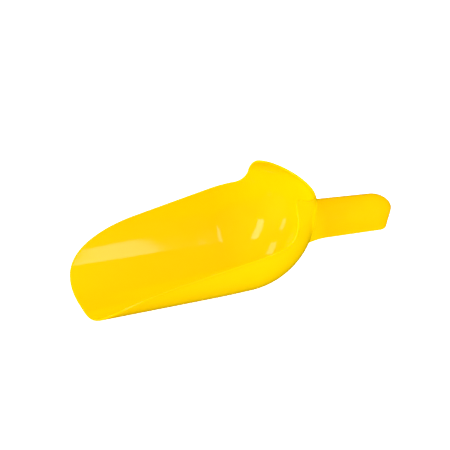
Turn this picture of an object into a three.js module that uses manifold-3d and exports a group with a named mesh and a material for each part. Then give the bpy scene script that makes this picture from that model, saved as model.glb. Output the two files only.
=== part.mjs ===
// Hand scoop for animal feed, moulded in one yellow plastic. An open trough with a rounded lip has
// side walls that step up to a raised back, and a short grip like an upturned channel stands behind it.
// Millimetres, +Z up. The lip points along -X and the grip along +X. Y = 0 is the mirror plane.
// The origin is below the middle of the scoop's length, on the surface that it rests on.
import * as THREE from "three";
import { mergeVertices } from "three/addons/utils/BufferGeometryUtils.js";
import Module from "manifold-3d";

const wasm = await Module();
wasm.setup();

// Bowl, outside sizes. Places along the scoop are counted from the lip.
const bowlLength = 241;
const bowlHalfWidth = 71.2;
const mouthHalfWidth = 74.4; // the trough widens a little towards the lip
const floorHalfWidth = 6; // flat strip along the underside
const widestLevel = 82.4; // height at which the side walls stand upright
const crownRise = 33.6; // above that level the walls lean in, as an arch that would close this much higher
const domeLength = 80.6; // rounded back end of the bowl
const wall = 2.4;
const flankPower = 2.14; // roundness of the flanks: 2 is an ellipse, more is fuller

// Front of the floor, which turns up to the lip
const lipLift = 6.3;
const levelLength = 20.4; // the floor is level over this length, before the rounded back end
const liftPower = 1.2; // 1 is a straight slope, more starts more gently

// Rim, seen from the side
const lipRun = 78; // the rim climbs in a curve over this length, then runs straight
const lipLevel = 52; // height where the straight rim starts
const lipRake = 4.8; // how far the curve leans back while it leaves the lip
const lipRise = 28.6; // how far it climbs on that lean
const lipReach = 22.7; // how long the curve keeps to the straight rim's slope
const stepLevel = 70; // height where the straight rim ends, at the foot of the raised back
const stepRun = 8; // the front edge of the raised back leans back this much
const stepFootRadius = 16;
const peakLevel = 104; // height of the raised back's front corners
const peakRadius = 5;
const wingLength = 36.3; // from those corners to the back of the bowl
const backLevel = 87; // height of the raised back above the grip

// Grip, outside sizes
const gripLength = 87; // behind the bowl
const gripHalfWidth = 18;
const gripCrownRise = 20; // height of its arched top
const gripCrownLevel = 69.8; // height of its top where it leaves the bowl
const gripDroop = 10.3; // how far the top comes down towards the end
const gripRootDepth = 32.6;
const gripEndDepth = 29.5;
const gripEndRound = 20.4; // length of the rounded end
const gripEndDrop = 16.7; // how far the top falls over the rounded end
const gripEndLift = 1.4; // how far the lower edge rises over it
const gripEndRake = 6.7; // the tip's lower edge stands this much further forward than its top
const flareReach = 10; // the side walls deepen from this far behind the bowl
const flareLength = 28; // they are deepest this much further forward, where they meet the bowl
const flareDepth = 6.5;

const seatGap = 0.3; // between the grip's root and the bowl
const overrun = 10; // how far a cutting shape passes what it cuts

// Steps along the curved surfaces
const flankSteps = 12;
const liftSteps = 9;
const domeSteps = 14;
const rimSteps = 16;
const flareSteps = 5;
const gripEndSteps = 9;

const domeStart = bowlLength - domeLength;
const liftLength = domeStart - levelLength;
const overallLength = bowlLength + gripLength;
const lerp = THREE.MathUtils.lerp;
const quarterTurn = Math.PI / 2;

// Closed mesh through rings of points, each ring convex and with as many points as the last.
function loft(rings) {
  const count = rings[0].length;
  const index = [];
  for (let r = 0; r + 1 < rings.length; r++)
    for (let p = 0; p < count; p++) {
      const next = (p + 1) % count;
      const here = r * count;
      const ahead = here + count;
      index.push(here + p, ahead + next, ahead + p);
      index.push(here + p, here + next, ahead + next);
    }
  const last = (rings.length - 1) * count;
  for (let p = 1; p + 1 < count; p++) {
    index.push(0, p + 1, p);
    index.push(last, last + p, last + p + 1);
  }
  return new THREE.BufferGeometry().setFromPoints(rings.flat()).setIndex(index);
}

// Geometry to solid. Where a ring shrinks to a point or a line, its empty triangles are left out.
function solidOf(geometry) {
  const bare = geometry.clone();
  bare.deleteAttribute("normal");
  bare.deleteAttribute("uv");
  const merged = mergeVertices(bare);
  const triangles = [];
  for (let i = 0; i < merged.index.count; i += 3) {
    const corners = [0, 1, 2].map((c) => merged.index.getX(i + c));
    if (new Set(corners).size === corners.length) triangles.push(...corners);
  }
  const vertProperties = merged.attributes.position.array;
  const triVerts = new Uint32Array(triangles);
  return new wasm.Manifold(new wasm.Mesh({ numProp: 3, vertProperties, triVerts }));
}

function meshOf(solid, name, material) {
  const { vertProperties, triVerts } = solid.getMesh();
  const geometry = new THREE.BufferGeometry();
  geometry.setAttribute("position", new THREE.BufferAttribute(vertProperties, 3));
  geometry.setIndex(new THREE.BufferAttribute(triVerts, 1));
  const flat = geometry.toNonIndexed();
  flat.computeVertexNormals();
  const mesh = new THREE.Mesh(flat, material);
  mesh.name = name;
  return mesh;
}

// Mirrors one side of a section, from its bottom point to its top point, into a closed ring.
function mirrored(side) {
  const other = side.filter((p) => p.y > 0).map((p) => new THREE.Vector3(p.x, -p.y, p.z));
  return [...side, ...other.reverse()];
}

// Height of the outer floor at a place along the trough.
function floorLevel(x) {
  return lipLift * Math.max(0, 1 - x / liftLength) ** liftPower;
}

// How much wider each half of the trough is at a place than at the start of the rounded back end.
function mouthWidening(x) {
  return (mouthHalfWidth - bowlHalfWidth) * (1 - x / domeStart) ** 2;
}

// Section across the bowl: flat strip, rounded flank up to the widest level, and the leaning arch.
function bowlRing(x, halfWidth, floorHalf, depth, crown) {
  const side = [];
  for (let i = 0; i <= flankSteps; i++) {
    const angle = (i / flankSteps) * quarterTurn;
    const out = Math.sin(angle) ** (2 / flankPower);
    const down = Math.max(0, Math.cos(angle)) ** (2 / flankPower);
    side.push(new THREE.Vector3(x, floorHalf + (halfWidth - floorHalf) * out, widestLevel - depth * down));
  }
  for (let i = 1; i < flankSteps; i++) {
    const angle = (i / flankSteps) * quarterTurn;
    side.push(new THREE.Vector3(x, halfWidth * Math.cos(angle), widestLevel + crown * Math.sin(angle)));
  }
  side.push(new THREE.Vector3(x, 0, widestLevel + crown));
  return mirrored(side);
}

// The bowl's outer form as a solid, grown all round by a distance, or shrunk where it is negative.
function bowlForm(growth) {
  const halfWidth = bowlHalfWidth + growth;
  const depth = widestLevel + growth;
  const crown = crownRise + growth;
  const dome = domeLength + growth;
  const rings = [];
  for (let i = 0; i <= liftSteps; i++) {
    const x = lerp(-overrun, liftLength, i / liftSteps);
    rings.push(bowlRing(x, halfWidth + mouthWidening(x), floorHalfWidth, depth - floorLevel(x), crown));
  }
  for (let i = 0; i <= domeSteps; i++) {
    const angle = (i / domeSteps) * quarterTurn;
    const share = Math.cos(angle);
    const x = domeStart + dome * Math.sin(angle);
    rings.push(bowlRing(x, halfWidth * share, floorHalfWidth * share, depth * share, crown * share));
  }
  return solidOf(loft(rings));
}

// Runs a path up to a corner and round it on an arc, to leave in the direction of the next point.
function roundCorner(path, corner, next, radius) {
  const entry = corner.clone().sub(path.currentPoint).normalize();
  const exit = next.clone().sub(corner).normalize();
  const turn = Math.acos(entry.dot(exit));
  const setback = radius * Math.tan(turn / 2);
  const start = corner.clone().addScaledVector(entry, -setback);
  const end = corner.clone().addScaledVector(exit, setback);
  const clockwise = entry.cross(exit) < 0;
  const inward = new THREE.Vector2(-entry.y, entry.x).multiplyScalar(clockwise ? -radius : radius);
  const centre = start.clone().add(inward);
  const from = start.clone().sub(centre).angle();
  const to = end.clone().sub(centre).angle();
  path.lineTo(start.x, start.y);
  path.absarc(centre.x, centre.y, radius, from, to, clockwise);
}

// Everything below the rim, seen from the side and pushed through the bowl's whole width.
function belowRim() {
  const rimStart = new THREE.Vector2(lipRun, lipLevel);
  const peak = new THREE.Vector2(bowlLength - wingLength, peakLevel);
  const foot = new THREE.Vector2(peak.x - stepRun, stepLevel);
  const back = new THREE.Vector2(bowlLength, backLevel);
  const behind = back.clone().addScaledVector(back.clone().sub(peak).normalize(), overrun);
  const slope = foot.clone().sub(rimStart).normalize();
  const reach = rimStart.clone().addScaledVector(slope, -lipReach);
  const outline = new THREE.Shape();
  outline.moveTo(0, -overrun);
  outline.lineTo(behind.x, -overrun);
  outline.lineTo(behind.x, behind.y);
  roundCorner(outline, peak, foot, peakRadius);
  roundCorner(outline, foot, rimStart, stepFootRadius);
  outline.lineTo(rimStart.x, rimStart.y);
  outline.bezierCurveTo(reach.x, reach.y, lipRake, lipLift + lipRise, 0, lipLift);
  outline.closePath();
  const width = 2 * (mouthHalfWidth + overrun);
  const block = new THREE.ExtrudeGeometry(outline, {
    depth: width,
    bevelEnabled: false,
    curveSegments: rimSteps,
  });
  return solidOf(block.rotateX(quarterTurn).translate(0, width / 2, 0));
}

// Section across the grip: upright sides under an elliptical arch.
function gripRing(x, halfWidth, crown, top, bottom) {
  const side = [new THREE.Vector3(x, halfWidth, bottom)];
  for (let i = 0; i < flankSteps; i++) {
    const angle = (i / flankSteps) * quarterTurn;
    side.push(new THREE.Vector3(x, halfWidth * Math.cos(angle), top - crown * (1 - Math.sin(angle))));
  }
  side.push(new THREE.Vector3(x, 0, top));
  return mirrored(side);
}

// The grip's outer form as a solid, or with a thickness the hollow below and inside its wall.
function gripForm(thickness) {
  const halfWidth = gripHalfWidth - thickness;
  const crown = gripCrownRise - thickness;
  const endRound = gripEndRound - thickness;
  const endStart = overallLength - gripEndRound;
  const flareStart = bowlLength + flareReach;
  const below = thickness > 0 ? overrun : 0;
  const along = (x) => (x - bowlLength) / gripLength;
  const topAt = (x) => gripCrownLevel - gripDroop * along(x) - thickness;
  const bottomAt = (x) => {
    const depth = lerp(gripRootDepth, gripEndDepth, along(x));
    const flare = Math.max(0, (flareStart - x) / flareLength);
    return gripCrownLevel - gripDroop * along(x) - depth - flareDepth * flare * flare - below;
  };
  const rings = [];
  for (let i = 0; i <= flareSteps; i++) {
    const x = lerp(domeStart + domeLength / 2, flareStart, i / flareSteps);
    rings.push(gripRing(x, halfWidth, crown, topAt(x), bottomAt(x)));
  }
  for (let i = 0; i <= gripEndSteps; i++) {
    const angle = (i / gripEndSteps) * quarterTurn;
    const share = Math.cos(angle);
    const x = endStart + endRound * Math.sin(angle);
    const top = topAt(x) - gripEndDrop * (1 - share);
    const bottom = bottomAt(x) + gripEndLift * (1 - share);
    const ring = gripRing(x, halfWidth * share, crown * share, top, bottom);
    const height = top + thickness - (bottom + below);
    const lean = (gripEndRake * Math.sin(angle)) / height;
    rings.push(ring.map((p) => p.setX(p.x - lean * (top + thickness - p.z))));
  }
  return solidOf(loft(rings));
}

function bowlSolid() {
  return bowlForm(0).subtract(bowlForm(-wall)).intersect(belowRim());
}

function gripSolid() {
  return gripForm(0).subtract(gripForm(wall)).subtract(bowlForm(seatGap));
}

const yellow = 0xffd400;
const bowlPlastic = new THREE.MeshStandardMaterial({ color: yellow, roughness: 0.28, metalness: 0 });
const gripPlastic = new THREE.MeshStandardMaterial({ color: yellow, roughness: 0.34, metalness: 0 });

const scoop = new THREE.Group();
scoop.position.x = -overallLength / 2;
scoop.add(meshOf(bowlSolid(), "scoop_bowl", bowlPlastic));
scoop.add(meshOf(gripSolid(), "grip_channel", gripPlastic));

const group = new THREE.Group();
group.add(scoop);
export default group;
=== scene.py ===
"""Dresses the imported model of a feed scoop: one glossy yellow moulding, floor, light and camera.

Metres, +Z up. The lip points along -X, the grip along +X, and Y = 0 is the mirror plane.
"""

import logging
import math
from dataclasses import dataclass, field
from enum import Enum
from typing import Callable

import bpy
import numpy as np
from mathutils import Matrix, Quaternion, Vector

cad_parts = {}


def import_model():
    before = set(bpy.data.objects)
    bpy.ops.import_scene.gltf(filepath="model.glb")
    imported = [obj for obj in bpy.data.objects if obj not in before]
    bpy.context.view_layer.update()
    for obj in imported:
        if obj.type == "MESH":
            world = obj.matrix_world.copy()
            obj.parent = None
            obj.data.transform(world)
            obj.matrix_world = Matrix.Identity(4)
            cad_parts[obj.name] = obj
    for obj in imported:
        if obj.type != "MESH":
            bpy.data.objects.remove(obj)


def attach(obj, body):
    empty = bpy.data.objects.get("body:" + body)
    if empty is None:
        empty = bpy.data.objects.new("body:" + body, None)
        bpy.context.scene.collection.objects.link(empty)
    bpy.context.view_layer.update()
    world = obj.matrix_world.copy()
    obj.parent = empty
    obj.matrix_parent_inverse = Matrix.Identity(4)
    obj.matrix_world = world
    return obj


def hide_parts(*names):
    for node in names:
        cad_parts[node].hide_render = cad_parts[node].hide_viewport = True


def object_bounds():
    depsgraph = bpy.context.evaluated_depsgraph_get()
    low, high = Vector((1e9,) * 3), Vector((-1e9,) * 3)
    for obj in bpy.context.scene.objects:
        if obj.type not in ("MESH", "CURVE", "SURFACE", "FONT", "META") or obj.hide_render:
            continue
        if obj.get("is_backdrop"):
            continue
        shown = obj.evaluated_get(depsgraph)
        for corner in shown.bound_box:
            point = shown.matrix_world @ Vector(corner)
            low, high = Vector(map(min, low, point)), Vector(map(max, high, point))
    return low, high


Mapping = Callable[[np.ndarray, np.ndarray], np.ndarray]
Colour = tuple[float, float, float, float]
Scale = tuple[float, float, float]
Range = tuple[float, float]

LOG = logging.getLogger("feed_scoop")
BODY = "root"
RIM_GROUP = "rim"
# Attribute that places the painted shade along the rim.
RIM_SHADE_SHARE = "rim_painted_shade"
WALL_GROUP = "wall"

MM = 0.001
QUARTER = math.pi / 2
SHARP_EDGE = math.radians(50)
INWARD = -1.0
NO_LENGTH = 1e-9
TOUCHING = 1e-7
MERGED_POLE = 0.002 * MM
MERGED_HALVES = 0.01 * MM
HALVINGS = 40
ROOT_ROUNDS = 30
WHITE: Colour = (1.0, 1.0, 1.0, 1.0)


class Duty(Enum):
    """What a light does: it only brightens the plastic, or it only shows in its shine."""

    FILL = "fill"
    SHINE = "shine"


def bezier(controls: np.ndarray, count: int) -> np.ndarray:
    """Samples a cubic curve, closest together at its start.

    Args:
        controls: the four control points, one per row.
        count: how many steps the curve takes.

    Returns:
        The points on the curve, one per row.
    """
    t = (np.linspace(0, 1, count + 1) ** 2)[:, None]
    weights = ((1 - t) ** 3, 3 * t * (1 - t) ** 2, 3 * t**2 * (1 - t), t**3)
    return sum(weight * point for weight, point in zip(weights, controls))


def rounded_corner(
    before: np.ndarray, corner: np.ndarray, after: np.ndarray, radius: float, count: int
) -> np.ndarray:
    """Rounds the corner between two straight lines with an arc that touches both.

    Args:
        before: a point on the line that comes in.
        corner: where the lines meet.
        after: a point on the line that goes out.
        radius: the arc's radius.
        count: how many steps the arc takes.

    Returns:
        The points on the arc, one per row.
    """
    entry = (corner - before) / np.linalg.norm(corner - before)
    leave = (after - corner) / np.linalg.norm(after - corner)
    turn = math.acos(float(entry @ leave))
    side = math.copysign(1.0, float(entry[0] * leave[1] - entry[1] * leave[0]))
    start = corner - entry * radius * math.tan(turn / 2)
    normal = np.array((-entry[1], entry[0])) * side
    angles = np.linspace(0, turn, count + 1)[:, None]
    return start + radius * (np.sin(angles) * entry + (1 - np.cos(angles)) * normal)


def straight(start: np.ndarray, end: np.ndarray, step: float) -> np.ndarray:
    """Returns the points of a straight line, a step apart at most, without its end."""
    count = max(1, math.ceil(float(np.linalg.norm(end - start)) / step))
    return start + np.linspace(0, 1, count, endpoint=False)[:, None] * (end - start)


@dataclass
class Track:
    """A line on the bowl's skin, followed by shares of its length, to which each turn adds."""

    places: np.ndarray
    points: np.ndarray
    turn_length: float = 0.0
    shares: np.ndarray = field(init=False)

    def __post_init__(self) -> None:
        """Measures the line."""
        steps = np.diff(self.points, axis=0)
        lengths = np.linalg.norm(steps, axis=1)
        ways = steps / np.maximum(lengths, NO_LENGTH)[:, None]
        turns = np.arccos(np.clip((ways[1:] * ways[:-1]).sum(axis=1), -1, 1))
        turns[np.minimum(lengths[1:], lengths[:-1]) < TOUCHING] = 0
        lengths[1:] += self.turn_length * turns / 2
        lengths[:-1] += self.turn_length * turns / 2
        self.shares = np.concatenate(([0.0], np.cumsum(lengths)))
        self.shares /= self.shares[-1]

    def at(self, share: np.ndarray) -> np.ndarray:
        """Returns the places on the skin at these shares of the line's length."""
        columns = [np.interp(share, self.shares, column) for column in self.places.T]
        return np.stack(columns, axis=-1)

    def share_of(self, along: float) -> float:
        """Returns the share at which the line reaches a place's first number."""
        return float(np.interp(along, self.places[:, 0], self.shares))


@dataclass
class RimOutline:
    """The bowl's rim seen from the side, as distance from the lip and height."""

    run: float = 78 * MM
    level: float = 52 * MM
    rake: float = 4.8 * MM
    rise: float = 28.6 * MM
    reach: float = 22.7 * MM
    step_level: float = 70 * MM
    step_run: float = 8 * MM
    foot_radius: float = 16 * MM
    peak_level: float = 104 * MM
    peak_radius: float = 5 * MM
    wing_length: float = 36.3 * MM
    back_level: float = 87 * MM
    step: float = 0.5 * MM
    curve_steps: int = 160
    foot_steps: int = 48
    peak_steps: int = 40

    def points(self, lip_level: float, bowl_length: float) -> np.ndarray:
        """Follows the rim from the lip to the front corner of the raised back.

        Args:
            lip_level: height of the lip's underside.
            bowl_length: from the lip to the back of the bowl.

        Returns:
            The points, as distance from the lip and height, one per row.
        """
        lip = np.array((0.0, lip_level))
        start = np.array((self.run, self.level))
        peak = np.array((bowl_length - self.wing_length, self.peak_level))
        foot = np.array((peak[0] - self.step_run, self.step_level))
        back = np.array((bowl_length, self.back_level))
        slope = (foot - start) / np.linalg.norm(foot - start)
        leaving = np.array((self.rake, lip_level + self.rise))
        controls = np.stack((lip, leaving, start - slope * self.reach, start))
        at_foot = rounded_corner(start, foot, peak, self.foot_radius, self.foot_steps)
        at_peak = rounded_corner(foot, peak, back, self.peak_radius, self.peak_steps)
        return np.concatenate((
            bezier(controls, self.curve_steps)[:-1],
            straight(start, at_foot[0], self.step),
            at_foot,
            straight(at_foot[-1], at_peak[0], self.step)[1:],
            at_peak,
        ))

    def wing_level(self, x: float | np.ndarray, bowl_length: float) -> float | np.ndarray:
        """Returns the height of the raised back's upper edge at a distance from the lip."""
        fall = (self.peak_level - self.back_level) / self.wing_length
        return self.back_level + fall * (bowl_length - x)


@dataclass
class BowlForm:
    """The outer skin of the bowl, as a map from places on a flat sheet to points.

    A place has a first number that runs from 0 at the lip to 1 where the rounded back end starts
    and on to 2 at the middle of the back, and a second that is negative on the flat floor, 0 to 1
    on the flank below the widest level, and over 1 above it.
    """

    length: float = 241 * MM
    half_width: float = 71.2 * MM
    mouth_half_width: float = 74.4 * MM
    floor_half: float = 6 * MM
    floor_end: float = 3 * MM
    widest: float = 82.4 * MM
    crown: float = 33.6 * MM
    dome: float = 80.6 * MM
    wall: float = 2.4 * MM
    flank_power: float = 2.14
    lip_lift: float = 6.3 * MM
    lift_length: float = 140 * MM
    lift_power: float = 1.2
    wing_steps: int = 120
    lip_steps: int = 8
    rim: RimOutline = field(default_factory=RimOutline)

    @property
    def dome_start(self) -> float:
        """Distance from the lip to the start of the rounded back end."""
        return self.length - self.dome

    @property
    def floor_share(self) -> float:
        """Width of the flat floor as a share of the flank's length."""
        flank = QUARTER * (self.half_width - self.floor_half + self.widest) / 2
        return self.floor_half / flank

    def floor_level(self, x: np.ndarray) -> np.ndarray:
        """Returns the height of the underside, which turns up towards the lip."""
        return self.lip_lift * np.clip(1 - x / self.lift_length, 0, None) ** self.lift_power

    def widening(self, x: np.ndarray) -> np.ndarray:
        """Returns how much wider each half is than at the start of the rounded back end."""
        forward = np.clip(1 - x / self.dome_start, 0, None)
        return (self.mouth_half_width - self.half_width) * forward**2

    def reaches(self, level: np.ndarray) -> tuple[np.ndarray, np.ndarray]:
        """Measures the level curve of the rounded back end.

        Args:
            level: heights above the floor.

        Returns:
            How far the curve reaches back, and its half width.
        """
        power = self.flank_power
        depth = np.clip(1 - level / self.widest, 0, 1)
        below = np.clip(1 - depth**power, 0, None) ** (1 / power)
        above = np.sqrt(np.clip(1 - ((level - self.widest) / self.crown) ** 2, 0, None))
        low = level < self.widest
        low_back = self.floor_end + (self.dome - self.floor_end) * below
        low_side = self.floor_half + (self.half_width - self.floor_half) * below
        back = np.where(low, low_back, self.dome * above)
        side = np.where(low, low_side, self.half_width * above)
        return back, side

    def back_of(self, y: np.ndarray, level: np.ndarray) -> np.ndarray:
        """Returns the distance from the lip to the outside of the rounded back end."""
        back, side = self.reaches(level)
        return self.dome_start + back * np.sqrt(np.clip(1 - (y / side) ** 2, 0, None))

    def point(self, place: np.ndarray) -> np.ndarray:
        """Finds the points of the near half of the skin.

        Args:
            place: places on the flat sheet, with the two numbers last.

        Returns:
            The points, with x counted from the lip and y negative.
        """
        u, v = place[..., 0], place[..., 1]
        x = np.clip(u, 0, 1) * self.dome_start
        turn = np.clip(u - 1, 0, 1) * QUARTER
        floor = np.clip(1 + v / self.floor_share, 0, 1)
        flank = np.clip(v, 0, 1) * QUARTER
        arch = np.clip(v - 1, 0, 1) * QUARTER
        lift = self.floor_level(x)
        out = np.clip(np.sin(flank), 0, None) ** (2 / self.flank_power)
        down = np.clip(np.cos(flank), 0, None) ** (2 / self.flank_power)
        half = self.half_width + self.widening(x)
        side = (self.floor_half * floor + (half - self.floor_half) * out) * np.cos(arch)
        back = (self.floor_end * floor + (self.dome - self.floor_end) * out) * np.cos(arch)
        level = self.widest - (self.widest - lift) * down + self.crown * np.sin(arch)
        return np.stack((x + back * np.sin(turn), -side * np.cos(turn), level), axis=-1)

    def place_of(self, outline: np.ndarray) -> np.ndarray:
        """Finds where points seen from the side lie on the sheet.

        Args:
            outline: distances from the lip and heights, one point per row.

        Returns:
            The places on the sheet, one per row.
        """
        x, level = outline.T
        lift = self.floor_level(x)
        depth = np.clip((self.widest - level) / (self.widest - lift), 0, 1)
        flank = np.arccos(depth ** (self.flank_power / 2)) / QUARTER
        arch = np.arcsin(np.clip((level - self.widest) / self.crown, 0, 1)) / QUARTER
        back, _ = self.reaches(level)
        turn = np.arcsin(np.clip((x - self.dome_start) / back, 0, 1)) / QUARTER
        u = np.where(x < self.dome_start, x / self.dome_start, 1 + turn)
        return np.stack((u, flank + arch), axis=-1)

    def track(self, places: np.ndarray, turn_length: float = 0.0) -> Track:
        """Returns the line on the skin through these places."""
        return Track(places, self.point(places), turn_length)

    def rim_places(self) -> np.ndarray:
        """Follows the rim on the sheet, from the middle of the lip to the middle of the back.

        Returns:
            The places on the sheet, one per row.
        """
        forward = self.rim.points(self.lip_lift, self.length)
        low, high = forward[-1][0], self.length
        for _ in range(HALVINGS):
            middle = (low + high) / 2
            level = np.array(self.rim.wing_level(middle, self.length))
            inside = middle < self.back_of(np.array(0.0), level)
            low, high = (middle, high) if inside else (low, middle)
        gone = np.linspace(1, 0, self.wing_steps)[1:] ** 2
        x = low - (low - forward[-1][0]) * gone
        wing = np.stack((x, self.rim.wing_level(x, self.length)), axis=-1)
        across = np.linspace(-self.floor_share, 0, self.lip_steps, endpoint=False)
        lip = np.stack((np.zeros_like(across), across), axis=-1)
        return np.concatenate((lip, self.place_of(np.concatenate((forward, wing)))))


class Bench:
    """Modelling steps, each with the operator that a modeller would use."""

    def __init__(self, lip: float) -> None:
        """Notes where the lip lies on X in the model's frame."""
        self.lip = lip

    @staticmethod
    def pick(piece: bpy.types.Object) -> None:
        """Leaves one piece selected and active.

        Args:
            piece: the piece that the next operator acts on.
        """
        bpy.ops.object.select_all(action="DESELECT")
        piece.select_set(True)
        bpy.context.view_layer.objects.active = piece

    @staticmethod
    def sheet(name: str, columns: int, rows: int) -> bpy.types.Object:
        """Lays a flat sheet of squares, one unit wide, to be drawn over a form.

        Args:
            name: the piece's name.
            columns: squares along X.
            rows: squares along Y.

        Returns:
            The new sheet.
        """
        bpy.ops.object.select_all(action="DESELECT")
        bpy.ops.mesh.primitive_grid_add(x_subdivisions=columns, y_subdivisions=rows, size=1)
        piece = bpy.context.object
        piece.name = piece.data.name = name
        return piece

    def draw_over(self, piece: bpy.types.Object, mapping: Mapping) -> None:
        """Draws a flat sheet over a form, point by point.

        Args:
            piece: a sheet that is still flat.
            mapping: from the shares along and across the sheet to points counted from the lip.
        """
        count = len(piece.data.vertices)
        flat = np.empty(count * 3, np.float32)
        piece.data.vertices.foreach_get("co", flat)
        along, across = (flat.reshape(-1, 3)[:, :2].T + 0.5).clip(0, 1)
        points = mapping(along.astype(float), across.astype(float))
        points[:, 0] += self.lip
        points[:, 1][np.abs(points[:, 1]) < TOUCHING] = 0
        piece.data.vertices.foreach_set("co", points.astype(np.float32).ravel())
        piece.data.update()

    def close_poles(self, piece: bpy.types.Object) -> None:
        """Merges the points that a form brings together.

        Args:
            piece: a sheet that was drawn over a form.
        """
        self.pick(piece)
        bpy.ops.object.mode_set(mode="EDIT")
        bpy.ops.mesh.select_all(action="SELECT")
        bpy.ops.mesh.remove_doubles(threshold=MERGED_POLE)
        bpy.ops.object.mode_set(mode="OBJECT")

    def finish_with(self, piece: bpy.types.Object, kind: str, **settings: object) -> None:
        """Adds a modifier and applies it.

        Args:
            piece: the piece to change.
            kind: the modifier's type.
            settings: what is set on it.
        """
        self.pick(piece)
        modifier = piece.modifiers.new(kind.title(), kind)
        for name, value in settings.items():
            setattr(modifier, name, value)
        bpy.ops.object.modifier_apply(modifier=modifier.name)

    def mirror(self, piece: bpy.types.Object) -> None:
        """Adds the far half to the near half."""
        across = (False, True, False)
        self.finish_with(piece, "MIRROR", use_axis=across, merge_threshold=MERGED_HALVES)

    def lay_wall(self, piece: bpy.types.Object, thickness: float, thinned: str = "") -> None:
        """Gives a sheet its wall, laid inwards from the skin that was shaped.

        Args:
            piece: the sheet.
            thickness: how thick the wall is.
            thinned: the vertex group that makes it thinner, where there is one.
        """
        self.finish_with(
            piece, "SOLIDIFY", thickness=thickness, offset=INWARD, use_even_offset=True,
            use_quality_normals=True, vertex_group=thinned,
        )

    def round_edges(
        self, piece: bpy.types.Object, radius: float, steps: int, clamped: bool
    ) -> None:
        """Rounds the sharp edges of a shell.

        Args:
            piece: the shell.
            radius: how far the rounding reaches from an edge.
            steps: how many faces it takes.
            clamped: whether it stops short where two roundings would meet.
        """
        self.finish_with(
            piece, "BEVEL", limit_method="ANGLE", angle_limit=SHARP_EDGE, width=radius,
            segments=steps, use_clamp_overlap=clamped,
        )

    def smooth(self, piece: bpy.types.Object) -> None:
        """Shades a piece smooth all over."""
        self.pick(piece)
        bpy.ops.object.shade_smooth()

    def mark_rim(self, piece: bpy.types.Object) -> None:
        """Puts the open edge of a sheet in a group, which the later steps carry along.

        Args:
            piece: a sheet that has no wall yet.
        """
        self.pick(piece)
        piece.vertex_groups.new(name=RIM_GROUP)
        bpy.ops.object.mode_set(mode="EDIT")
        bpy.ops.mesh.select_mode(type="VERT")
        bpy.ops.mesh.select_non_manifold(
            extend=False, use_wire=False, use_multi_face=False, use_non_contiguous=False,
            use_verts=False,
        )
        bpy.ops.object.vertex_group_assign()
        bpy.ops.object.mode_set(mode="OBJECT")

    @staticmethod
    def share_rim(piece: bpy.types.Object) -> None:
        """Writes how far each vertex belongs to the rim, as an attribute that places the plastic's
        painted shade on the rim.

        Args:
            piece: a shell whose rim was marked before it got its wall.
        """
        rim = piece.vertex_groups[RIM_GROUP].index
        shares = [
            sum(held.weight for held in vertex.groups if held.group == rim)
            for vertex in piece.data.vertices
        ]
        attribute = piece.data.attributes.new(RIM_SHADE_SHARE, "FLOAT", "POINT")
        attribute.data.foreach_set("value", shares)


@dataclass
class Bowl:
    """The trough, its rim and the raised back."""

    form: BowlForm = field(default_factory=BowlForm)
    columns: int = 264
    rows: int = 52
    seam: float = 60 * MM
    seam_lead: float = 1.3
    turn_length: float = 8 * MM
    back_steps: int = 400
    edge_radius: float = 0.95 * MM
    edge_steps: int = 4

    def mapping(self) -> Mapping:
        """Lays the sheet between the floor's middle line, the rim and the middle of the back.

        The sheet's first edge folds onto the middle line of the floor, from a seam forward to the
        lip, and its lower edge runs from the seam back.

        Returns:
            The map from shares of the sheet to points.
        """
        form = self.form
        rim = form.track(form.rim_places(), self.turn_length)
        middle = -form.floor_share
        levels = np.linspace(middle, rim.places[-1][1], self.back_steps)
        back = form.track(np.stack((np.full_like(levels, 2.0), levels), axis=-1))
        seam = self.seam / form.dome_start
        leads = (0, rim.share_of(seam), rim.share_of(1.0), 1)

        def place(along: np.ndarray, across: np.ndarray) -> np.ndarray:
            """Blends the four edges of the sheet into its inside.

            Args:
                along: shares of the sheet's columns, from the seam round to the back.
                across: shares of its rows, from the floor's middle line to the rim.

            Returns:
                The points, with x counted from the lip and y negative.
            """
            floor_u = np.interp(along, leads, (seam, seam * self.seam_lead, 1, 2))
            floor = np.stack((floor_u, np.full_like(along, middle)), axis=-1)
            front = np.stack((seam * (1 - across), np.full_like(across, middle)), axis=-1)
            s, t = along[:, None], across[:, None]
            edges = (1 - t) * floor + t * rim.at(along) + (1 - s) * front + s * back.at(across)
            at_seam, at_lip = np.array((seam, middle)), np.array((0.0, middle))
            first = (1 - s) * ((1 - t) * at_seam + t * at_lip)
            last = s * ((1 - t) * back.places[0] + t * back.places[-1])
            return form.point(edges - first - last)

        return place

    def build(self, bench: Bench) -> bpy.types.Object:
        """Models the bowl.

        Args:
            bench: the modelling steps.

        Returns:
            The bowl as a closed shell with a rounded rim.
        """
        piece = bench.sheet("bowl_moulding", self.columns, self.rows)
        bench.draw_over(piece, self.mapping())
        bench.close_poles(piece)
        bench.mirror(piece)
        bench.mark_rim(piece)
        bench.lay_wall(piece, self.form.wall)
        bench.round_edges(piece, self.edge_radius, self.edge_steps, clamped=False)
        bench.share_rim(piece)
        bench.smooth(piece)
        return piece


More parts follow.
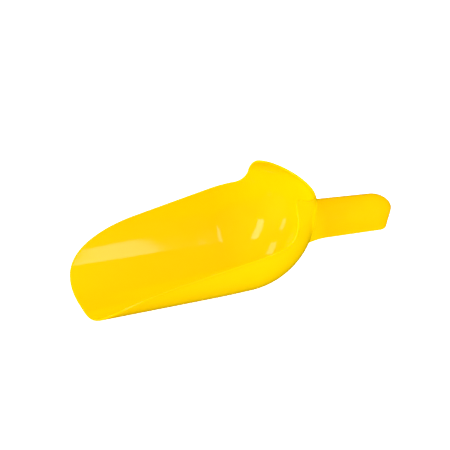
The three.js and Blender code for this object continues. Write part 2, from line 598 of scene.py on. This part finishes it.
@dataclass
class Grip:
    """The upturned channel behind the bowl, blended into it at its root.

    The sheet's first column of squares is sunk into the bowl's skin and doesn't show. The next
    ones make the blend, the straight length and the rounded end.
    """

    bowl: BowlForm
    length: float = 87 * MM
    half_width: float = 18 * MM
    crown_rise: float = 20 * MM
    crown_level: float = 69.8 * MM
    droop: float = 10.3 * MM
    root_depth: float = 32.6 * MM
    end_depth: float = 29.5 * MM
    end_round: float = 20.4 * MM
    end_drop: float = 16.7 * MM
    end_lift: float = 1.4 * MM
    end_rake: float = 6.7 * MM
    flare_reach: float = 10 * MM
    flare_length: float = 28 * MM
    flare_depth: float = 6.5 * MM
    root_blend: float = 3.5 * MM
    root_wall_share: float = 0.25
    sunk: float = 0.3 * MM
    sunk_spread: float = 0.3
    blend_columns: int = 7
    body_columns: int = 44
    end_columns: int = 20
    rows: int = 44
    edge_radius: float = 0.9 * MM
    edge_steps: int = 4

    @property
    def end(self) -> float:
        """Distance from the lip to the tip of the grip."""
        return self.bowl.length + self.length

    @property
    def columns(self) -> int:
        """How many columns of squares the sheet has."""
        return 1 + self.blend_columns + self.body_columns + self.end_columns

    def section(
        self, x: np.ndarray, narrowed: np.ndarray, share: np.ndarray
    ) -> tuple[np.ndarray, np.ndarray, np.ndarray]:
        """Goes round the near half of a section, from the lower edge to the crown.

        Args:
            x: distances from the lip.
            narrowed: how wide the section is, as a share of the full width.
            share: shares of the way round.

        Returns:
            Half width, height, and the angle of the outward normal above the level.
        """
        along = (x - self.bowl.length) / self.length
        top = self.crown_level - self.droop * along
        flare = np.clip((self.bowl.length + self.flare_reach - x) / self.flare_length, 0, None)
        depth = self.root_depth + (self.end_depth - self.root_depth) * along
        depth = depth + self.flare_depth * flare**2
        bottom = top - depth + self.end_lift * (1 - narrowed)
        crown = top - self.end_drop * (1 - narrowed)
        spring = crown - self.crown_rise * narrowed
        arch_length = QUARTER * (self.half_width + self.crown_rise) / 2 * narrowed
        gone = share * (spring - bottom + arch_length)
        up_wall = np.minimum(gone, spring - bottom)
        round_arch = np.clip((gone - up_wall) / np.maximum(arch_length, NO_LENGTH), 0, 1)
        angle = round_arch * QUARTER
        half = self.half_width * narrowed * np.cos(angle)
        return half, bottom + up_wall + self.crown_rise * narrowed * np.sin(angle), angle

    def root(self, share: np.ndarray) -> np.ndarray:
        """Finds where the section's lines meet the bowl.

        Args:
            share: shares of the way round the section.

        Returns:
            The distances from the lip.
        """
        x = np.full_like(share, self.bowl.length)
        for _ in range(ROOT_ROUNDS):
            half, level, _ = self.section(x, np.ones_like(x), share)
            x = self.bowl.back_of(half, level)
        return x

    def lean(self, x: np.ndarray, turn: np.ndarray, level: np.ndarray) -> np.ndarray:
        """Finds how far the rounded end leans in, more at the lower edge than at the top.

        Args:
            x: distances from the lip.
            turn: the angle gone round the end.
            level: the heights of the points.

        Returns:
            How far each point moves towards the lip.
        """
        narrowed = np.cos(turn)
        _, high, _ = self.section(x, narrowed, np.ones_like(x))
        _, low, _ = self.section(x, narrowed, np.zeros_like(x))
        return self.end_rake * np.sin(turn) * (high - level) / (high - low)

    def point(self, along: np.ndarray, across: np.ndarray) -> np.ndarray:
        """Finds the points of the near half of the grip's outer skin.

        Args:
            along: shares of the sheet's columns, from the bowl to the tip.
            across: shares of the way round the section.

        Returns:
            The points, with x counted from the lip and y negative.
        """
        column = along * self.columns
        past_blend = column - 1 - self.blend_columns
        blend = np.clip((column - 1) / self.blend_columns, 0, 1)
        body = np.clip(past_blend / self.body_columns, 0, 1)
        turn = np.clip((past_blend - self.body_columns) / self.end_columns, 0, 1) * QUARTER
        root = self.root(across)
        start = root + self.root_blend
        x = start + (self.end - self.end_round - start) * body + self.end_round * np.sin(turn)
        half, level, _ = self.section(x, np.cos(turn), across)
        free = np.stack((x - self.lean(x, turn, level), -half, level), axis=-1)

        hidden = column < 0.5
        half, level, angle = self.section(root, np.ones_like(root), across)
        corner = np.stack((root, -half, level), axis=-1)
        out = self.root_blend * (1 + np.where(hidden, self.sunk_spread, 0.0))
        half, level = half + out * np.cos(angle), level + out * np.sin(angle)
        foot_x = self.bowl.back_of(half, level) - np.where(hidden, self.sunk, 0.0)
        foot = np.stack((foot_x, -half, level), axis=-1)
        s = blend[:, None]
        rounded = (1 - s) ** 2 * foot + 2 * s * (1 - s) * corner + s**2 * free
        return np.where(s < 1, rounded, free)

    def thin_root(self, piece: bpy.types.Object) -> None:
        """Notes that the wall is thinner where the blend spreads over the bowl.

        Args:
            piece: the grip's sheet while it is still flat.
        """
        group = piece.vertex_groups.new(name=WALL_GROUP)
        for vertex in piece.data.vertices:
            column = (vertex.co.x + 0.5) * self.columns
            blend = min(1.0, max(0.0, (column - 1) / self.blend_columns))
            share = self.root_wall_share + (1 - self.root_wall_share) * blend
            group.add([vertex.index], share, "REPLACE")

    def build(self, bench: Bench) -> bpy.types.Object:
        """Models the grip.

        Args:
            bench: the modelling steps.

        Returns:
            The grip as a shell, open underneath, with rounded edges.
        """
        piece = bench.sheet("grip_moulding", self.columns, self.rows)
        self.thin_root(piece)
        bench.draw_over(piece, self.point)
        bench.close_poles(piece)
        bench.mirror(piece)
        bench.lay_wall(piece, self.bowl.wall, WALL_GROUP)
        bench.round_edges(piece, self.edge_radius, self.edge_steps, clamped=True)
        bench.smooth(piece)
        return piece


class Signal:
    """A number that runs through a material, with the sums that a recipe uses."""

    def __init__(self, recipe: "Recipe", socket: bpy.types.NodeSocket) -> None:
        """Wraps a node's output."""
        self.recipe = recipe
        self.socket = socket

    def worked(
        self, operation: str, first: "float | Signal", second: "float | Signal"
    ) -> "Signal":
        """Returns the result of a Math node on two values."""
        return self.recipe.node("ShaderNodeMath", {"operation": operation}, {0: first, 1: second})

    def __add__(self, other: "float | Signal") -> "Signal":
        """Adds a value."""
        return self.worked("ADD", self, other)

    def __radd__(self, other: float) -> "Signal":
        """Is added to a value."""
        return self.worked("ADD", other, self)

    def __mul__(self, other: "float | Signal") -> "Signal":
        """Multiplies by a value."""
        return self.worked("MULTIPLY", self, other)

    def __rmul__(self, other: float) -> "Signal":
        """Multiplies a value."""
        return self.worked("MULTIPLY", other, self)


@dataclass(frozen=True)
class Cloud:
    """A noise between 0 and 1.

    The scale is how many patches fit in a metre along each axis, the detail how many finer layers
    it has, and the roughness how strong those layers are.
    """

    scale: Scale
    detail: float
    roughness: float = 0.5


class Recipe:
    """One material, built up node by node."""

    MIX_SHARE = 0
    MIX_FIRST_COLOUR = 6
    MIX_SECOND_COLOUR = 7
    MIXED_COLOUR = 2

    def __init__(self, name: str) -> None:
        """Starts a material with its shader.

        Args:
            name: the material's name.
        """
        self.material = bpy.data.materials.new(name)
        self.material.use_nodes = True
        self.tree = self.material.node_tree
        self.shader = self.tree.nodes["Principled BSDF"]

    def feed(self, node: bpy.types.Node, inputs: dict[str | int, object]) -> None:
        """Sets a node's sockets to values, or links them to signals.

        Args:
            node: the node.
            inputs: values or signals for its sockets, by name or number.
        """
        for key, value in inputs.items():
            if isinstance(value, Signal):
                self.tree.links.new(value.socket, node.inputs[key])
            else:
                node.inputs[key].default_value = value

    def node(
        self,
        kind: str,
        settings: dict[str, object],
        inputs: dict[str | int, object],
        output: str | int = 0,
    ) -> Signal:
        """Adds a node.

        Args:
            kind: the node's type.
            settings: what is set on the node before its sockets.
            inputs: values or signals for its sockets, by name or number.
            output: which of its outputs is meant.

        Returns:
            That output.
        """
        node = self.tree.nodes.new(kind)
        for name, value in settings.items():
            setattr(node, name, value)
        self.feed(node, inputs)
        return Signal(self, node.outputs[output])

    def spot(self) -> Signal:
        """Returns a point's place on the object."""
        return self.node("ShaderNodeTexCoord", {}, {}, "Object")

    def cloud(self, cloud: Cloud) -> Signal:
        """Adds a noise that is stretched along each axis.

        Args:
            cloud: the noise's sizes.

        Returns:
            The noise.
        """
        place = self.node("ShaderNodeMapping", {}, {"Vector": self.spot(), "Scale": cloud.scale})
        inputs = {
            "Vector": place, "Scale": 1.0, "Detail": cloud.detail, "Roughness": cloud.roughness,
        }
        return self.node("ShaderNodeTexNoise", {}, inputs, "Fac")

    def spread(self, signal: Signal, span: Range) -> Signal:
        """Maps a range of a signal smoothly onto 0 to 1."""
        inputs = {"Value": signal, "From Min": span[0], "From Max": span[1]}
        return self.node("ShaderNodeMapRange", {"interpolation_type": "SMOOTHSTEP"}, inputs)

    def blend(self, share: Signal, first: object, second: object) -> Signal:
        """Mixes two colours.

        Args:
            share: how much of the second colour there is.
            first: a colour or a signal.
            second: a colour or a signal.

        Returns:
            The mixed colour.
        """
        inputs = {
            self.MIX_SHARE: share, self.MIX_FIRST_COLOUR: first, self.MIX_SECOND_COLOUR: second,
        }
        return self.node("ShaderNodeMix", {"data_type": "RGBA"}, inputs, self.MIXED_COLOUR)


@dataclass(frozen=True)
class MouldedPlastic:
    """Glossy plastic, coloured through, as it comes from the mould and with light handling, plus
    painted shade towards the lip, along the rim and on the grip.
    """

    name: str = "glossy_yellow_plastic"
    bright: Colour = (0.92, 0.6, 0.0, 1)
    deep: Colour = (0.90, 0.57, 0.0, 1)
    # Painted shade: a deeper colour towards the lip darkens the front of the trough.
    painted_shade_at_lip: Colour = (0.89, 0.53, 0.0, 1)
    # Painted shade: the rim's rounding is coloured deeper, most of all towards the lip, to dim the
    # bright line that light draws along it.
    painted_rim_shade_at_lip: Colour = (0.87, 0.46, 0.0, 1)
    painted_rim_shade_at_back: Colour = (0.9, 0.555, 0.0, 1)
    # Painted shade: the grip is coloured deeper than the bowl, in place of light that falls off
    # towards it; the random tone runs between these two.
    painted_shade_grip_bright: Colour = (0.89, 0.525, 0.0, 1)
    painted_shade_grip_deep: Colour = (0.87, 0.49, 0.0, 1)
    # Along X: where the painted shade at the lip fades out, and where the grip's painted shade
    # comes in.
    painted_lip_shade_span: Range = (-0.155, 0.06)
    painted_grip_shade_span: Range = (0.074, 0.088)
    flow: Cloud = Cloud((14, 34, 34), 3)
    flow_share: float = 0.7
    patches: Cloud = Cloud((60, 60, 60), 2)
    patches_share: float = 0.3
    tone_span: Range = (0.3, 0.7)
    roughness: float = 0.055
    scuffed: float = 0.05
    uneven: float = 0.02
    scratches: Cloud = Cloud((130, 900, 900), 4, 0.6)
    scratch_span: Range = (0.52, 0.68)
    handling: Cloud = Cloud((28, 28, 28), 2)
    handling_span: Range = (0.4, 0.65)
    shine: float = 0.5
    wave: Cloud = Cloud((26, 40, 40), 1)
    wave_height: float = 0.00006
    grain: Cloud = Cloud((1500, 1500, 1500), 2)
    grain_height: float = 0.0000025

    def colour(self, recipe: Recipe, patches: Signal) -> Signal:
        """Colours the plastic with a random tone, and with painted shade deeper towards the lip,
        along the rim and on the grip.

        Args:
            recipe: the material.
            patches: the noise that the roughness follows as well.

        Returns:
            The colour.
        """
        flow = recipe.cloud(self.flow)
        tone = recipe.spread(flow * self.flow_share + patches * self.patches_share, self.tone_span)
        along = recipe.node("ShaderNodeSeparateXYZ", {}, {"Vector": recipe.spot()}, "X")
        from_lip = recipe.spread(along, self.painted_lip_shade_span)
        # Painted shade at the lip, blended over the trough's random tone.
        trough = recipe.blend(from_lip, self.painted_shade_at_lip, recipe.blend(tone, self.deep, self.bright))
        # Painted shade on the rim, where the rim attribute marks it.
        rim = recipe.blend(from_lip, self.painted_rim_shade_at_lip, self.painted_rim_shade_at_back)
        painted_rim_shade_share = recipe.node("ShaderNodeAttribute", {"attribute_name": RIM_SHADE_SHARE}, {}, "Fac")
        bowl = recipe.blend(painted_rim_shade_share, trough, rim)
        # Painted shade on the grip, with the random tone over it.
        grip = recipe.blend(tone, self.painted_shade_grip_deep, self.painted_shade_grip_bright)
        return recipe.blend(recipe.spread(along, self.painted_grip_shade_span), bowl, grip)

    def relief(self, recipe: Recipe) -> Signal:
        """Makes the surface wave and gives it a grain.

        Args:
            recipe: the material.

        Returns:
            The surface's normal.
        """
        wave, grain = recipe.cloud(self.wave), recipe.cloud(self.grain)
        height = self.wave_height * wave + self.grain_height * grain
        inputs = {"Height": height, "Distance": 1.0, "Strength": 1.0}
        return recipe.node("ShaderNodeBump", {}, inputs, "Normal")

    def material(self) -> bpy.types.Material:
        """Builds the material.

        Returns:
            A material that works on any piece of the scoop.
        """
        recipe = Recipe(self.name)
        patches = recipe.cloud(self.patches)
        scratches = recipe.spread(recipe.cloud(self.scratches), self.scratch_span)
        handled = recipe.spread(recipe.cloud(self.handling), self.handling_span)
        scuffs = self.scuffed * (scratches * handled)
        recipe.feed(recipe.shader, {
            "Base Color": self.colour(recipe, patches),
            "Roughness": self.roughness + scuffs + self.uneven * patches,
            "Normal": self.relief(recipe),
            "Specular IOR Level": self.shine,
        })
        return recipe.material


@dataclass(frozen=True)
class PaleFloor:
    """A white table top that glows, so that neither an edge nor a shadow shows on it."""

    name: str = "pale_floor"
    colour: Colour = (0.9, 0.9, 0.9, 1)
    roughness: float = 0.9
    shine: float = 0.0
    glow: float = 1.0

    def material(self) -> bpy.types.Material:
        """Builds the material.

        Returns:
            A matt white that is lit from within.
        """
        recipe = Recipe(self.name)
        recipe.feed(recipe.shader, {
            "Base Color": self.colour,
            "Roughness": self.roughness,
            "Specular IOR Level": self.shine,
            "Emission Color": WHITE,
            "Emission Strength": self.glow,
        })
        return recipe.material


@dataclass(frozen=True)
class Panel:
    """A flat light that faces the scoop, turned from there by its roll, pitch and yaw."""

    name: str
    duty: Duty
    azimuth: float
    elevation: float
    radiance: float
    distance: float = 2.0
    width: float = 1.4
    height: float = 1.4
    roll: float = 0.0
    pitch: float = 0.0
    yaw: float = 0.0

    def place(self, aim: Vector) -> bpy.types.Object:
        """Hangs the panel.

        Args:
            aim: the point that it faces.

        Returns:
            The light.
        """
        turn, tilt = math.radians(self.azimuth), math.radians(self.elevation)
        away = Vector((
            math.cos(turn) * math.cos(tilt), math.sin(turn) * math.cos(tilt), math.sin(tilt),
        ))
        facing = away.to_track_quat("Z", "Y")
        for axis, angle in (
            ((0, 0, 1), self.roll), ((1, 0, 0), self.pitch), ((0, 1, 0), self.yaw),
        ):
            facing = facing @ Quaternion(axis, math.radians(angle))
        spot = aim + away * self.distance
        bpy.ops.object.select_all(action="DESELECT")
        bpy.ops.object.light_add(type="AREA", location=spot, rotation=facing.to_euler())
        light = bpy.context.object
        light.name = self.name
        light.data.shape = "RECTANGLE"
        light.data.size = self.width
        light.data.size_y = self.height
        light.data.energy = self.radiance * self.width * self.height * math.pi
        light.visible_glossy = self.duty is Duty.SHINE
        light.visible_diffuse = self.duty is Duty.FILL
        return light


@dataclass
class Studio:
    """Floor, lights and camera."""

    azimuth: float = -22.19
    elevation: float = 32.64
    distance: float = 2.2
    focal_pixels: float = 2258.0
    image_pixels: int = 450
    sensor_width: float = 36.0
    aim: tuple[float, float, float] = (-0.009, 0.0, 0.035)
    aim_right_pixels: float = 5.1
    aim_down_pixels: float = 24.4
    sky: float = 1.27
    floor_size: float = 12.0
    panels: tuple[Panel, ...] = (
        Panel("soft_nose", Duty.FILL, azimuth=180, elevation=25, radiance=1.4),
        Panel("soft_low_left", Duty.FILL, azimuth=-160, elevation=8, radiance=2.2),
        Panel("soft_low_right", Duty.FILL, azimuth=-50, elevation=8, radiance=0.75),
        Panel(
            "strip_trough", Duty.SHINE, azimuth=-68.7, elevation=45.9, radiance=2.15,
            distance=2.41, width=0.463, height=1.336, roll=-19.0, pitch=-34.6, yaw=68.7,
        ),
        Panel(
            "strip_back", Duty.SHINE, azimuth=-152.1, elevation=45.5, radiance=3.0,
            distance=1.6, width=0.29, height=0.95, roll=13.0,
        ),
        Panel(
            "strip_back_right", Duty.SHINE, azimuth=167.9, elevation=20.2, radiance=1.8,
            distance=1.29, width=0.17, height=0.33, roll=24.0,
        ),
        Panel(
            "strip_floor_right", Duty.SHINE, azimuth=137.7, elevation=46.5, radiance=1.8,
            distance=1.49, width=0.25, height=0.54, roll=-101.0,
        ),
    )

    def camera(self) -> bpy.types.Object:
        """Places the camera at the photograph's angle.

        Returns:
            The camera, looking level with the ground's horizon.
        """
        turn, tilt = math.radians(self.azimuth), math.radians(self.elevation)
        back = Vector((
            math.sin(turn) * math.cos(tilt), -math.cos(turn) * math.cos(tilt), math.sin(tilt),
        ))
        right = Vector((math.cos(turn), math.sin(turn), 0))
        up = back.cross(right)
        eye = Vector(self.aim) + back * self.distance
        pixel = self.distance / self.focal_pixels
        shift = (up * self.aim_down_pixels - right * self.aim_right_pixels) * pixel
        facing = (Vector(self.aim) + shift - eye).to_track_quat("-Z", "Y")
        bpy.ops.object.select_all(action="DESELECT")
        bpy.ops.object.camera_add(location=eye, rotation=facing.to_euler())
        camera = bpy.context.object
        camera.name = "photo_camera"
        camera.data.sensor_width = self.sensor_width
        camera.data.lens = self.sensor_width * self.focal_pixels / self.image_pixels
        bpy.context.scene.camera = camera
        return camera

    def floor(self, finish: PaleFloor) -> bpy.types.Object:
        """Lays the pale floor, which throws neither light nor shadow on the scoop.

        Args:
            finish: what it is made of.

        Returns:
            The floor.
        """
        bpy.ops.object.select_all(action="DESELECT")
        bpy.ops.mesh.primitive_plane_add(size=self.floor_size)
        floor = bpy.context.object
        floor.name = "floor"
        floor.data.materials.append(finish.material())
        floor.visible_glossy = False
        floor.visible_diffuse = False
        floor.visible_shadow = False
        floor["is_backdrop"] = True
        return floor

    def light(self) -> None:
        """Lights the scene softly, from all sides and from the panels."""
        world = bpy.data.worlds.new("studio")
        world.use_nodes = True
        background = world.node_tree.nodes["Background"]
        background.inputs["Strength"].default_value = self.sky
        background.inputs["Color"].default_value = WHITE
        world.cycles_visibility.glossy = False
        bpy.context.scene.world = world
        bpy.context.scene.view_settings.view_transform = "Standard"
        for panel in self.panels:
            panel.place(Vector(self.aim))


def main() -> None:
    """Builds the scoop's pieces, dresses them and sets up the studio."""
    logging.basicConfig(level=logging.INFO, format="%(message)s")
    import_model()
    model_low, model_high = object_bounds()
    bench = Bench(lip=model_low[0])
    bowl = Bowl()
    grip = Grip(bowl=bowl.form)
    plastic = MouldedPlastic().material()
    for maker, node in ((bowl, "scoop_bowl"), (grip, "grip_channel")):
        piece = maker.build(bench)
        piece.data.materials.append(plastic)
        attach(piece, BODY)
        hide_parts(node)
        LOG.info("%s: %d faces", piece.name, len(piece.data.polygons))
    studio = Studio()
    studio.camera()
    studio.floor(PaleFloor())
    studio.light()


if __name__ == "__main__":
    main()
